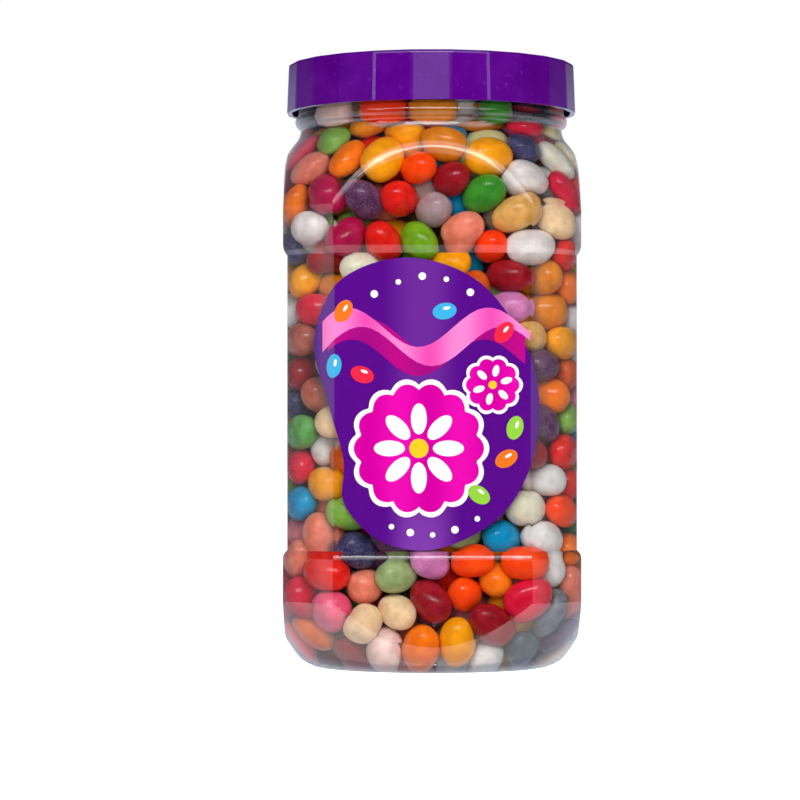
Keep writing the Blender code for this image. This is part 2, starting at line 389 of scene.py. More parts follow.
# %% Finish of the wall
def clear_plastic():
    finish = Finish("clear_plastic")
    finish.set(Transmission_Weight=1.0, IOR=1.57, Roughness=0.0, Sheen_Weight=0.8,
               Sheen_Roughness=0.3, Sheen_Tint=(0.82, 0.85, 1.0, 1.0))
    facing = finish.tree.nodes.new("ShaderNodeLayerWeight").outputs["Facing"]
    edge = finish.ramp(facing, 0.32, 0.46)
    finish.link(finish.mix(edge, (0.955, 0.97, 0.99), (0.66, 0.70, 0.82)),
                finish.shader.inputs["Base Color"])
    wobble = finish.noise(14 * MM, detail=1.0)
    ripple = finish.noise(2.2 * MM, detail=2.0)
    height = finish.math("ADD", wobble, finish.math("MULTIPLY", ripple, 0.015))
    finish.bump(height, strength=0.5, distance=0.18 * MM)
    tree = finish.tree
    path = tree.nodes.new("ShaderNodeLightPath")
    through = finish.math("MAXIMUM", path.outputs["Is Shadow Ray"], path.outputs["Is Diffuse Ray"])
    through = finish.math("MAXIMUM", through, path.outputs["Is Glossy Ray"])
    see_through = tree.nodes.new("ShaderNodeBsdfTransparent")
    see_through.inputs["Color"].default_value = (0.94, 0.95, 0.96, 1.0)
    mixer = tree.nodes.new("ShaderNodeMixShader")
    finish.link(through, mixer.inputs["Fac"])
    finish.link(finish.shader.outputs[0], mixer.inputs[1])
    finish.link(see_through.outputs[0], mixer.inputs[2])
    finish.link(mixer.outputs[0], finish.output.inputs["Surface"])
    return finish.material


jar = piece("jar_wall", bm, clear_plastic(), "jar")
jar.data.set_sharp_from_angle(angle=math.radians(30))

# %% [markdown]
# ## The lid
# The cap is injection moulded in violet plastic: 24 flat facets with a narrow strip between
# each two, a softly rounded top edge and a thin skirt. A cone with 24 sides gives the facets and
# the slight draft that lets it leave the mould. Bevels cut the strips and round the rim, and an
# inset pushed upwards hollows it. Every edge keeps a tiny round that catches the light.

# %% Lid
FACETS = 24
LID_BOTTOM = 167.8 * MM
LID_TOP = 182.6 * MM
LID_APOTHEM = 43.8 * MM
LID_DRAFT = 0.6 * MM
LID_STRIP = 1.1 * MM
LID_RIM = 0.9 * MM
LID_WALL = 1.5 * MM
LID_ROOF = 1.6 * MM


def bevel(bm, edges, offset, segments=1, kind="OFFSET"):
    return bmesh.ops.bevel(bm, geom=edges, offset=offset, offset_type=kind, segments=segments,
                           profile=0.5, affect="EDGES", clamp_overlap=True, material=-1)


bm = bmesh.new()
reach = 1 / math.cos(math.pi / FACETS)
bmesh.ops.create_cone(
    bm, cap_ends=True, segments=FACETS, radius1=LID_APOTHEM * reach,
    radius2=(LID_APOTHEM - LID_DRAFT) * reach, depth=LID_TOP - LID_BOTTOM,
    matrix=Matrix.Translation((0, 0, (LID_TOP + LID_BOTTOM) / 2))
    @ Matrix.Rotation(math.pi / FACETS - math.radians(0.5), 4, "Z"))
upright = [e for e in bm.edges if abs(e.verts[0].co.z - e.verts[1].co.z) > LID_ROOF]
bevel(bm, upright, LID_STRIP, kind="WIDTH")
top = max(bm.faces, key=lambda f: f.calc_center_median().z)
bevel(bm, list(top.edges), LID_RIM, segments=3)
bottom = min(bm.faces, key=lambda f: f.calc_center_median().z)
bmesh.ops.inset_region(bm, faces=[bottom], thickness=LID_WALL, use_even_offset=True)
bottom = max((f for f in bm.faces if f.calc_center_median().z < LID_BOTTOM + 0.1 * MM),
             key=lambda f: f.calc_area())
made = bmesh.ops.extrude_face_region(bm, geom=[bottom])
risen = [v for v in made["geom"] if isinstance(v, bmesh.types.BMVert)]
bmesh.ops.delete(bm, geom=[bottom], context="FACES")
bmesh.ops.translate(bm, verts=risen, vec=(0, 0, LID_TOP - LID_ROOF - LID_BOTTOM))
bmesh.ops.recalc_face_normals(bm, faces=bm.faces)
sharp = [e for e in bm.edges if e.calc_face_angle(0) > math.radians(5)]
bevel(bm, sharp, 0.13 * MM, segments=2)
print("lid: open edges", sum(not e.is_manifold for e in bm.edges))


# %% [markdown]
# The violet plastic has a satin gloss. A fine grain from the mould breaks the highlight, and
# small pale spots, mixed a fifth of the way to a lighter violet, lie at random over the lid.

# %% Finish of the lid
def violet_plastic():
    finish = Finish("violet_plastic")
    cloud = finish.noise(9 * MM, detail=3.0)
    # pale spots scattered at random, mixed a fifth of the way to #7A3FB0
    pale_spots = finish.ramp(finish.noise(1.6 * MM, detail=6.0), 0.60, 0.75)
    tone = finish.mix(finish.ramp(cloud, 0.3, 0.7), linear("#4D0077"), linear("#550080"))
    finish.link(finish.mix(finish.math("MULTIPLY", pale_spots, 0.2), tone, linear("#7A3FB0")),
                finish.shader.inputs["Base Color"])
    grain = finish.noise(0.35 * MM, detail=2.0)
    finish.link(finish.ramp(cloud, 0.3, 0.7, 0.11, 0.17), finish.shader.inputs["Roughness"])
    finish.set(Specular_IOR_Level=0.4)
    finish.bump(grain, strength=0.2, distance=0.03 * MM)
    return finish.material


lid = piece("lid_cap", bm, violet_plastic(), "lid")
lid.data.set_sharp_from_angle(angle=math.radians(20))
flatten = lid.modifiers.new("even_facets", "WEIGHTED_NORMAL")
flatten.keep_sharp = True

# %% [markdown]
# ## The label
# A printed film, glued to the front panel and round the left corner. Film is best made flat,
# as it is printed, and then bent: each printed shape is a flat outline in unrolled millimetres,
# filled, cut where it has to bend, given a hair of thickness and wrapped round the panel. The
# inks lie a few hundredths of a millimetre above each other. The print is a plain design of
# its own: a scalloped badge with a daisy, a ribbon, a few sweets and dots.

# %% Bending film round the panel
LABEL_OUTLINE = [
    (-7.0, 121.6), (-26.7, 115.2), (-36.3, 97.5), (-31.0, 80.0), (-26.0, 63.0), (-25.6, 49.5),
    (-14.0, 38.4), (3.0, 37.1), (22.0, 48.6), (31.5, 72.0), (28.3, 93.5), (14.0, 114.2),
]
FILM_GAP = 0.30 * MM
INK = 0.028 * MM
FOLD = 1.5 * MM
PANEL_HALF = BAND_HALF - WAIST_DEPTH
PANEL_ROUND = TURNED_RADIUS - WAIST_DEPTH


def flat_reach(proud):
    """Half the width of the flat panel, for a film that stands proud of it."""
    return math.sqrt((PANEL_ROUND + proud) ** 2 - (PANEL_HALF + proud) ** 2)


def wrap(along, height, proud):
    """Bends an unrolled point round the label panel, standing proud of it."""
    radius, reach = PANEL_ROUND + proud, flat_reach(proud)
    if abs(along) <= reach:
        return (along, -(PANEL_HALF + proud), height)
    angle = math.asin(reach / radius) + (abs(along) - reach) / radius
    return (math.copysign(radius * math.sin(angle), along), -radius * math.cos(angle), height)


def smooth_closed(points, steps):
    """A smooth closed curve through the points, with a few steps from each to the next."""
    curve = []
    count = len(points)
    for i in range(count):
        p = [points[(i + k - 1) % count] for k in range(4)]
        for step in range(steps):
            t = step / steps
            weights = (-0.5 * t + t * t - 0.5 * t ** 3, 1 - 2.5 * t * t + 1.5 * t ** 3,
                       0.5 * t + 2 * t * t - 1.5 * t ** 3, -0.5 * t * t + 0.5 * t ** 3)
            curve.append(tuple(sum(w * q[axis] for w, q in zip(weights, p)) for axis in (0, 1)))
    return curve


def print_shape(bm, outline, layer, thickness=INK * 0.7):
    """Adds one filled outline of the print to bm, in ink layer 0 (the film) or above."""
    flat = bmesh.new()
    rim = [flat.verts.new((x * MM, 0.0, z * MM)) for x, z in outline]
    edges = [flat.edges.new(pair) for pair in zip(rim, rim[1:] + rim[:1])]
    bmesh.ops.contextual_create(flat, geom=edges)
    lowest = min(x for x, _ in outline) * MM
    highest = max(x for x, _ in outline) * MM
    for side in (-1, 1):
        place = flat_reach(FILM_GAP)
        while place < max(-lowest, highest):
            if lowest < side * place < highest:
                bmesh.ops.bisect_plane(flat, geom=flat.verts[:] + flat.edges[:] + flat.faces[:],
                                       plane_co=(side * place, 0, 0), plane_no=(1, 0, 0))
            place += FOLD
    back = set(flat.verts)
    bmesh.ops.triangulate(flat, faces=flat.faces)
    bmesh.ops.extrude_face_region(flat, geom=list(flat.faces))
    proud = FILM_GAP + layer * INK
    for vert in flat.verts:
        vert.co = wrap(vert.co.x, vert.co.z, proud + (0.0 if vert in back else thickness))
    bmesh.ops.recalc_face_normals(flat, faces=flat.faces)
    if flat.calc_volume(signed=True) < 0:
        bmesh.ops.reverse_faces(flat, faces=flat.faces)
    mesh = bpy.data.meshes.new("ink")
    flat.to_mesh(mesh)
    flat.free()
    bm.from_mesh(mesh)
    bpy.data.meshes.remove(mesh)


# %% Outlines of the print
def oval(x, z, across, high, lean=0.0, sides=40):
    """An ellipse about (x, z), leaning by degrees."""
    c, s = math.cos(math.radians(lean)), math.sin(math.radians(lean))
    points = []
    for i in range(sides):
        a = 2 * math.pi * i / sides
        u, v = across / 2 * math.cos(a), high / 2 * math.sin(a)
        points.append((x + u * c - v * s, z + u * s + v * c))
    return points


def scallop(x, z, radius, depth, lobes, sides=180):
    """A round badge with rounded lobes along its edge."""
    points = []
    for i in range(sides):
        a = 2 * math.pi * i / sides
        r = radius - depth * (1 - abs(math.cos(lobes * a / 2)) ** 0.8)
        points.append((x + r * math.cos(a), z + r * math.sin(a)))
    return points


def wave(x, start, end, height, swing, turns):
    """Middle of the ribbon at x, from start to end."""
    share = (x - start) / (end - start)
    return height + swing * math.sin(turns * math.pi * share)


def ribbon(start, end, height, swing, turns, wide, phase=0.0, steps=28):
    """A band along a wave whose width swells and thins as it turns over."""
    upper, lower = [], []
    for i in range(steps + 1):
        x = start + (end - start) * i / steps
        middle = wave(x, start, end, height, swing, turns)
        half = wide * (0.62 + 0.38 * math.cos(turns * math.pi * i / steps + phase)) / 2
        upper.append((x, middle + half))
        lower.append((x, middle - half))
    return upper + lower[::-1]


print("print tools ready")


# %% [markdown]
# The film is gloss-laminated, so its inks share one soft sheen. The violet ground has a painted
# sheen, a lighter column down the middle that is strongest at the foot. The ribbon fades from pink to
# magenta.

# %% Inks
def film_ink(name, colour, deep=None, glow=None):
    """A printed ink under a gloss film, fading to deep from top to foot; glow is a painted sheen."""
    finish = Finish(name)
    split = finish.tree.nodes.new("ShaderNodeSeparateXYZ")
    finish.link(finish.place, split.inputs[0])
    tone = finish.mix(finish.ramp(finish.noise(0.25 * MM), 0.3, 0.7, 0.0, 0.006),
                      linear(colour), (1.0, 1.0, 1.0))
    if deep:
        fade = finish.math("PINGPONG", finish.math("ADD", split.outputs["X"], 0.1), 9 * MM)
        tone = finish.mix(finish.ramp(fade, 0.0, 9 * MM), tone, linear(deep))
    # painted sheen: a lighter column down the middle, strongest at the foot, painted into the colour
    if glow:
        middle = finish.math("ABSOLUTE", finish.math("ADD", split.outputs["X"], 3 * MM), 0.0)
        column = finish.ramp(middle, 2 * MM, 12 * MM, 0.9, 0.0)
        foot = finish.ramp(split.outputs["Z"], 37 * MM, 60 * MM, 1.0, 0.45)
        tone = finish.mix(finish.math("MULTIPLY", column, foot), tone, linear(glow))
    finish.link(tone, finish.shader.inputs["Base Color"])
    finish.set(Roughness=0.4, Specular_IOR_Level=0.0, Coat_Weight=1.0, Coat_Roughness=0.04)
    finish.bump(finish.noise(6 * MM, detail=2.0), strength=0.2, distance=0.1 * MM)
    return finish.material


def printed(name, outlines, layer, ink, thickness=INK * 0.7):
    """One piece for all the shapes of one ink on one layer."""
    bm = bmesh.new()
    for outline in outlines:
        print_shape(bm, outline, layer, thickness)
    made = piece(name, bm, ink, "label", smooth=False)
    return made


# %% Label
# the violet ground carries a painted sheen in #7A3AA0 down its middle
violet_ink_with_painted_sheen = film_ink("violet_ink_with_painted_sheen", "#4E007C", glow="#7A3AA0")
magenta_ink = film_ink("magenta_ink", "#DD00A6", deep="#C80096")
white_ink = film_ink("white_ink", "#FAF8FA")
pink_ink = film_ink("pink_ink", "#F080C6", deep="#E04BAA")
plum_ink = film_ink("plum_ink", "#B0007C", deep="#9A0A78")
BADGE = (-4.0, 66.0)
printed("label_film", [smooth_closed(LABEL_OUTLINE, 10)], 0, violet_ink_with_painted_sheen, thickness=0.09 * MM)
printed("label_ribbon_back", [ribbon(-31, 27, 95.5, 5.0, 3.0, 10.0, phase=math.pi)], 3.4, plum_ink)
printed("label_ribbon_front", [ribbon(-33, 28.5, 98.5, 5.5, 3.0, 9.0)], 4.4, pink_ink)
printed("label_badge_edge", [scallop(*BADGE, 20.5, 2.0, 14), scallop(17.5, 84.5, 8.8, 1.0, 10)],
        5.4, white_ink)
printed("label_badge", [scallop(*BADGE, 19.0, 2.0, 14), scallop(17.5, 84.5, 7.8, 1.0, 10)],
        6.4, magenta_ink)
petals = []
for i in range(8):
    a = 2 * math.pi * i / 8
    petals.append(oval(BADGE[0] + 8.6 * math.cos(a), BADGE[1] + 8.6 * math.sin(a), 9.0, 4.6,
                       math.degrees(a)))
petals += [oval(17.5 + 4.2 * math.cos(a), 84.5 + 4.2 * math.sin(a), 3.4, 1.9, math.degrees(a))
           for a in (0.3 + 2 * math.pi * i / 6 for i in range(6))]
dots = [oval(x, z, d, d, sides=24) for x, z, d in (
    (-17, 111, 2.2), (-10, 114.5, 1.6), (-3, 116.2, 2.2), (4, 115.3, 1.6), (11, 111.5, 2.2),
    (-12, 43.2, 1.6), (-6.5, 41.5, 2.2), (0, 40.8, 1.6), (6.5, 42.3, 2.2), (13, 45.5, 1.6))]
printed("label_daisies", petals + dots, 7.4, white_ink)
printed("label_eyes", [oval(*BADGE, 5.6, 5.6), oval(17.5, 84.5, 2.4, 2.4)], 7.9,
        film_ink("yellow_ink", "#FFC21E"))
SWEETS_PRINTED = {
    "orange": ("#F4701A", [(21.5, 63.0, 30), (-26.0, 106.0, 60)]),
    "lime": ("#8CC63C", [(13.5, 52.5, -35), (24.0, 72.0, 75)]),
    "red": ("#E02440", [(-20.5, 87.5, -20), (20.8, 99.8, 50)]),
    "sky": ("#38A8D8", [(-29.0, 90.0, 80), (3.5, 106.0, 10)]),
}
for name, (colour, places) in SWEETS_PRINTED.items():
    ovals = [oval(x, z, 7.0, 4.8, lean) for x, z, lean in places]
    printed(f"label_{name}_sweets", ovals, 5.9, film_ink(f"{name}_ink", colour))
glints = [oval(x + 0.6, z + 0.9, 2.2, 0.9, lean, sides=16)
          for _, places in SWEETS_PRINTED.values() for x, z, lean in places]
printed("label_glints", glints, 6.9, white_ink)

# %% [markdown]
# ## The sweets
# The jar holds several hundred sweets. Only the layers near the wall can be seen, so a plain
# core fills the middle and real sweets are packed all round it, above and below.
#
# They could be placed one by one, but a filled jar has no plan: the sweets lie as they fall. So
# a small simulation pours them. Each sweet is three overlapping balls in a row, which is easy to
# test for contact and close to its true form. All sweets start small, at seeded random places,
# and grow to full size while they push each other, the wall and the core away. The outer ones
# drift outward, so that they lie against the clear wall. Here everything is in millimetres.

# %% Sizes for packing
SWEET_COUNT = 565
SWEET_SEED = 4
BALL_SHIFT = np.array([-3.05, 0.0, 3.05])
BALL_RADII = np.array([4.2, 5.3, 4.2])
REACH = 16.5
SKIN = 1.8                   # wall thickness and a hair of air
HEAP_TOP = 171.3
OUTER_LAYER = 29.0           # sweets further out than this drift toward the wall
OUTWARD = 0.12               # by this much a step
OUTWARD_TIME = 0.75          # for this share of the steps
LIE_DOWN = (1.0, 1.0, 0.985)  # what a step leaves of the lean, as a falling sweet lands on its side
CORE_HALF = 21.0
CORE_CORNER = 10.0
CORE_HEIGHTS = (16.0, 157.0)
FLOOR = [(0.0, 5.8), (9.0, 5.6), (18.0, 5.2), (26.0, 3.8), (30.0, 1.8), (31.4, 1.2), (40.0, 1.2)]
NECK_INSIDE = [(r, z) for r, z in SHOULDER if z < 162] + [(39.6, 163.0), (39.6, 184.0)]


# %% Walls that push
def jar_push(places, radii):
    """How far, and which way, each ball has to move to be clear of the jar's inside."""
    push = np.zeros_like(places)
    flat, z = places[..., :2], places[..., 2]
    back = WAIST_DEPTH / MM * waist_share(z * MM) + SKIN
    room = (BAND_HALF / MM - back - radii)[..., None]
    push[..., :2] -= np.sign(flat) * np.maximum(np.abs(flat) - room, 0)
    away = np.linalg.norm(flat, axis=-1)
    outward = flat / np.maximum(away, 1e-9)[..., None]
    beyond = np.maximum(away + radii - (TURNED_RADIUS / MM - back), 0)
    push[..., :2] -= outward * beyond[..., None]
    for outline in (BASE_CONE, NECK_INSIDE):
        outline_radii, heights = np.array(outline).T
        slope = np.interp(z + 1, heights, outline_radii) - np.interp(z - 1, heights, outline_radii)
        slope = slope / 2
        length = np.sqrt(1 + slope ** 2)
        depth = (away - np.interp(z, heights, outline_radii)) / length + SKIN + radii
        depth = np.maximum(depth, 0)
        push[..., :2] -= outward * (depth / length)[..., None]
        push[..., 2] += depth * slope / length
    floor_radii, floor_heights = np.array(FLOOR).T
    floor = np.interp(away, floor_radii, floor_heights) + SKIN - WALL / MM
    push[..., 2] += np.maximum(floor + radii - z, 0)
    push[..., 2] -= np.maximum(z + radii - HEAP_TOP, 0)
    return push


def core_push(places, radii):
    """The same for the core, a box with round edges that the balls stay outside."""
    low, high = CORE_HEIGHTS
    size = np.array([CORE_HALF, CORE_HALF, (high - low) / 2]) - CORE_CORNER
    shifted = places - np.array([0, 0, (low + high) / 2])
    beyond = np.abs(shifted) - size
    round_part = np.maximum(beyond, 0)
    length = np.linalg.norm(round_part, axis=-1)
    within = (beyond <= 0).all(-1)
    distance = np.where(within, beyond.max(-1), length) - CORE_CORNER
    normal = np.where(within[..., None], beyond == beyond.max(-1, keepdims=True),
                      round_part / np.maximum(length, 1e-9)[..., None]) * np.sign(shifted)
    return normal * np.maximum(radii - distance, 0)[..., None]


def unit(vectors):
    return vectors / np.linalg.norm(vectors, axis=-1, keepdims=True)


# %% Sweets that push each other
def contacts(balls, radii, pairs):
    """Shift of every ball that ends its overlaps, shared evenly, and its count of touches."""
    first, second = pairs
    gap = balls[first][:, :, None, :] - balls[second][:, None, :, :]
    distance = np.linalg.norm(gap, axis=-1)
    depth = radii[first][:, :, None] + radii[second][:, None, :] - distance
    which, a, b = np.nonzero(depth > 0)
    normal = gap[which, a, b] / np.maximum(distance[which, a, b], 1e-6)[:, None]
    i, j = first[which], second[which]
    overlap = depth[which, a, b]
    shift, count = np.zeros_like(balls), np.zeros(balls.shape[:2])
    np.add.at(shift, (i, a), normal * overlap[:, None] / 2)
    np.add.at(shift, (j, b), -normal * overlap[:, None] / 2)
    np.add.at(count, (i, a), 1)
    np.add.at(count, (j, b), 1)
    return shift, count, overlap


def place_balls(centres, axes, scale):
    return centres[:, None, :] + axes[:, None, :] * (BALL_SHIFT * scale[:, None])[..., None]


def scatter(rng, count):
    """Random places inside the jar and outside the core."""
    found = np.zeros((0, 3))
    while len(found) < count:
        tries = rng.uniform((-38, -38, 6), (38, 38, 166), size=(count, 3))
        clear = (np.abs(jar_push(tries, 4.0)).sum(-1) < 0.5) & (core_push(tries, 3.0) == 0).all(-1)
        found = np.concatenate([found, tries[clear]])
    return found[:count]


# %% Pour the sweets
def pour(steps=800, settle=0.6):
    """Centres, axes and sizes of all sweets."""
    rng = np.random.default_rng(SWEET_SEED)
    centres = scatter(rng, SWEET_COUNT)
    axes = unit(rng.normal(size=(SWEET_COUNT, 3)))
    size = np.clip(rng.normal(1.0, 0.035, SWEET_COUNT), 0.93, 1.07)
    for step in range(steps):
        scale = size * min(1.0, 0.72 + 0.28 * step / (steps * settle))
        radii = BALL_RADII * scale[:, None]
        balls = place_balls(centres, axes, scale)
        if step % 6 == 0:
            near = ((centres[:, None] - centres[None]) ** 2).sum(-1) < REACH ** 2
            pairs = np.nonzero(np.triu(near, 1))
        shift, count, overlap = contacts(balls, radii, pairs)
        walls = jar_push(balls, radii) + core_push(balls, radii * 0.9)
        shift += 2 * walls
        count += 2 * (np.abs(walls).sum(-1) > 0)
        centres += 1.5 * shift.sum(1) / np.maximum(count.sum(1), 1)[:, None]
        arms = (BALL_SHIFT * scale[:, None])[..., None]
        turn = 0.6 * (arms * shift).sum(1) / (2 * (BALL_SHIFT[2] * scale) ** 2)[:, None]
        axes = unit((axes + turn - axes * (turn * axes).sum(1, keepdims=True)) * LIE_DOWN)
        if step < steps * OUTWARD_TIME:
            outer = (np.maximum(np.abs(centres[:, 0]), np.abs(centres[:, 1])) > OUTER_LAYER)[:, None]
            centres[:, :2] += OUTWARD * np.where(outer, unit(centres[:, :2]), 0)
    for _ in range(12):
        walls = jar_push(place_balls(centres, axes, scale), radii)
        deepest = np.abs(walls).sum(-1).argmax(1)
        centres += walls[np.arange(SWEET_COUNT), deepest]
    print(f"poured {SWEET_COUNT} sweets, {len(overlap)} touches, mean overlap {overlap.mean():.2f} mm")
    return centres, axes, size


sweet_centres, sweet_axes, sweet_sizes = pour()

# %% [markdown]
# ## One sweet
# A sweet is an oval about 14 mm long, 10.5 mm wide and 9.9 mm thick. Some are egg-shaped,
# some bend like a kidney and a few are dented. As there are hundreds, each is a cage of only
# 24 faces, a cube cut once and pushed out to a ball, and a Subdivision Surface modifier rounds
# it. A handful of different cages, each turned and sized at random, look like a mixed batch.

# %% Cages
HALF_SIZES = (7.0 * MM, 5.25 * MM, 4.95 * MM)
CAGES = 9
SMOOTHING = 2


def ball_cage():
    """A cube, cut once each way, with its corners pulled in to a ball of radius 1."""
    bm = bmesh.new()
    bmesh.ops.create_cube(bm, size=2.0)
    bmesh.ops.subdivide_edges(bm, edges=bm.edges, cuts=1, use_grid_fill=True)
    for vert in bm.verts:
        vert.co = vert.co.normalized()
    return bm


def rounded(mesh):
    """Places of all points of a cage once the modifier has rounded it."""
    cage = bpy.data.objects.new("cage", mesh)
    bpy.context.collection.objects.link(cage)
    smoother = cage.modifiers.new("smooth", "SUBSURF")
    smoother.levels = smoother.render_levels = SMOOTHING
    graph = bpy.context.evaluated_depsgraph_get()
    points = np.array([v.co for v in cage.evaluated_get(graph).to_mesh().vertices])
    bpy.data.objects.remove(cage)
    return points


def sweet_cage(rng, grow):
    """One mesh of a sweet along X: an oval with its own taper, bend, flat side and dent."""
    bm = ball_cage()
    taper = rng.uniform(-0.11, 0.11)
    bend = rng.choice([0.0, 0.2, 0.4, 0.7]) * 1.4 * MM
    side = rng.uniform(-0.05, 0.05)
    for vert in bm.verts:
        x, y, z = vert.co
        y *= 1 + taper * x
        z *= (1 - taper * x * 0.6) * (1 + side * y)
        spread = Vector((x * HALF_SIZES[0], y * HALF_SIZES[1], z * HALF_SIZES[2])) * grow
        spread.y += bend * (0.5 - x * x)
        vert.co = spread + Vector(rng.normal(0, 0.07 * MM, 3))
    if rng.random() < 0.3:
        dented = min(bm.verts, key=lambda v: v.co.y)
        dented.co.y += 0.5 * MM
    mesh = bpy.data.meshes.new("cage")
    bm.to_mesh(mesh)
    bm.free()
    return mesh


ball = ball_cage()
ball_mesh = bpy.data.meshes.new("ball")
ball.to_mesh(ball_mesh)
ball.free()
drawn_in = float(np.abs(rounded(ball_mesh)).max())
cage_rng = np.random.default_rng(21)
cages = [sweet_cage(cage_rng, 1 / drawn_in) for _ in range(CAGES)]
cage_points = np.array([rounded(cage) for cage in cages])
print(len(cages), "cages, drawn in to", round(drawn_in, 3))

# %% [markdown]
# ## Kinds of sweet
# Each kind is one joined piece with its own finish. Colours come in three sorts: plain ones
# with a full, even colour, pearly ones that are milky and let light in, and sparkling ones
# with fine pale specks. A weight says how common each kind is. The jar was filled from several
# bags, so orange and yellow kinds lie thicker in the lower part and reds in the upper.

# %% Kinds
KINDS = {
    "tangerine": ("#FF4A06", "plain", 7), "orange_red": ("#FA3A04", "plain", 5),
    "orange": ("#F97A10", "plain", 11), "golden": ("#F7A008", "plain", 11),
    "amber": ("#DC8410", "clear", 6), "ochre": ("#C9A012", "clear", 1),
    "honey": ("#DDA658", "pearl", 3), "rust": ("#D25808", "clear", 3),
    "brick": ("#B8604A", "pearl", 2), "red": ("#E01C10", "clear", 4),
    "cherry": ("#D8103A", "clear", 5), "wine": ("#9A0C1E", "clear", 4),
    "raspberry": ("#B01048", "clear", 3), "pink": ("#E85078", "sparkle", 4),
    "rose": ("#E0808A", "sparkle", 4), "coral": ("#EA8468", "pearl", 5),
    "blush": ("#E6C4BA", "pearl", 6), "orchid": ("#CC78AC", "sparkle", 3),
    "mauve": ("#A06078", "sparkle", 2), "mauve_grey": ("#A88A8C", "sparkle", 1),
    "plum": ("#5E2E56", "sparkle", 2), "navy": ("#362E5A", "sparkle", 3),
    "ink": ("#2C4450", "sparkle", 1), "slate": ("#5E667C", "sparkle", 1),
    "grey": ("#72747A", "sparkle", 1), "cyan": ("#0C94C0", "plain", 4),
    "olive": ("#74A210", "clear", 2), "lime": ("#86B040", "sparkle", 3),
    "sage": ("#A0B276", "pearl", 2), "green": ("#3C8C26", "clear", 4),
    "leaf": ("#5EA048", "sparkle", 3), "bottle": ("#1E4A1A", "clear", 1),
    "cream": ("#EAE2C8", "pearl", 5), "lemon": ("#E6D698", "pearl", 5),
    "peach": ("#F0CCA0", "pearl", 5), "white": ("#E2DCD6", "pearl", 6),
    "pearl": ("#DED2CC", "sparkle", 6), "beige": ("#D0BC9C", "pearl", 3),
    "brown": ("#8E5A4E", "sparkle", 2),
}
WARM = ("tangerine", "orange", "golden", "peach", "coral")
RED = ("orange_red", "red", "cherry", "raspberry", "pink")
MORE_WARM = 0.8              # how much thicker these lie at the very bottom
MORE_RED = 0.8               # and these at the very top


def sweet_finish(name, colour, sort):
    """Glazed sugar in one colour: mottled, a little see-through, with fine specks and pits."""
    finish = Finish(name)
    base = linear(colour)
    deep = tuple(c ** 1.1 * 0.9 for c in base)
    milk = {"plain": 0.0, "clear": 0.002, "pearl": 0.02, "sparkle": 0.02}[sort]
    pale = tuple(min(1.0, c * 1.08 + milk) for c in base)
    blotch = finish.ramp(finish.noise(3.4 * MM, detail=3.0), 0.35, 0.68)
    tone = finish.mix(blotch, deep, pale)
    own = finish.attribute("shade")
    tone = finish.mix(finish.ramp(own, 0.0, 1.0, 0.0, 0.22), tone, deep)
    speck = finish.ramp(finish.noise(0.28 * MM, detail=1.0), 0.60, 0.70)
    amount = {"plain": 0.05, "clear": 0.12, "pearl": 0.30, "sparkle": 0.60}[sort]
    tone = finish.mix(finish.math("MULTIPLY", speck, amount), tone,
                      tuple(0.3 + 0.7 * c for c in base))
    finish.link(tone, finish.shader.inputs["Base Color"])
    glow = {"plain": 0.2, "clear": 0.7, "pearl": 0.85, "sparkle": 0.6}[sort]
    finish.set(Subsurface_Weight=glow, Subsurface_Scale=2.6 * MM,
               Subsurface_Radius=tuple(0.35 + 0.65 * c for c in base), IOR=1.47,
               Specular_IOR_Level=0.04, Coat_Weight=0.75, Coat_Roughness=0.11)
    finish.link(finish.ramp(blotch, 0.0, 1.0, 0.42, 0.52), finish.shader.inputs["Roughness"])
    pits = finish.noise(0.9 * MM, detail=3.0)
    finish.bump(pits, strength=0.16, distance=0.10 * MM)
    return finish.material


# %% Lay out every sweet
def turn_and_size(axis, roll, size, centre):
    """Places a cage: its length along axis, turned by roll about it."""
    forward = Vector(axis)
    side = forward.orthogonal().normalized()
    frame_of_sweet = Matrix((forward, side, forward.cross(side))).transposed().to_4x4()
    return (Matrix.Translation(Vector(centre) * MM) @ frame_of_sweet
            @ Matrix.Rotation(roll, 4, "X") @ Matrix.Scale(size, 4))


mix_rng = np.random.default_rng(77)
cage_of = mix_rng.integers(CAGES, size=SWEET_COUNT)
rolls = mix_rng.uniform(0, 2 * math.pi, SWEET_COUNT)
shades = mix_rng.random(SWEET_COUNT)
for _ in range(4):
    for index in range(SWEET_COUNT):
        matrix = np.array(turn_and_size(sweet_axes[index], rolls[index], sweet_sizes[index],
                                        sweet_centres[index]))
        points = (cage_points[cage_of[index]] @ matrix[:3, :3].T + matrix[:3, 3]) / MM
        pushes = jar_push(points, np.zeros(len(points)))
        sweet_centres[index] += pushes[np.abs(pushes).sum(1).argmax()]

# %% Join the sweets of each kind
names = list(KINDS)
shares = np.array([KINDS[name][2] for name in names], dtype=float)
warm = np.isin(names, WARM)
red = np.isin(names, RED)
kind_of = []
for height in sweet_centres[:, 2]:
    rise = np.clip(height / HEAP_TOP, 0, 1)
    local = shares * (1 + MORE_WARM * warm * (1 - rise)) * (1 + MORE_RED * red * rise)
    kind_of.append(names[mix_rng.choice(len(names), p=local / local.sum())])
for name in names:
    bm = bmesh.new()
    shade = bm.verts.layers.float.new("shade")
    for index in (i for i, kind in enumerate(kind_of) if kind == name):
        start = len(bm.verts)
        bm.from_mesh(cages[cage_of[index]])
        fresh = bm.verts[start:]
        matrix = turn_and_size(sweet_axes[index], rolls[index], sweet_sizes[index],
                               sweet_centres[index])
        bmesh.ops.transform(bm, matrix=matrix, verts=fresh)
        for vert in fresh:
            vert[shade] = shades[index]
    made = piece(f"sweets_{name}", bm, sweet_finish(name, *KINDS[name][:2]),
                 "jelly_beans")
    smoother = made.modifiers.new("smooth", "SUBSURF")
    smoother.levels = smoother.render_levels = SMOOTHING
for cage in cages:
    bpy.data.meshes.remove(cage)
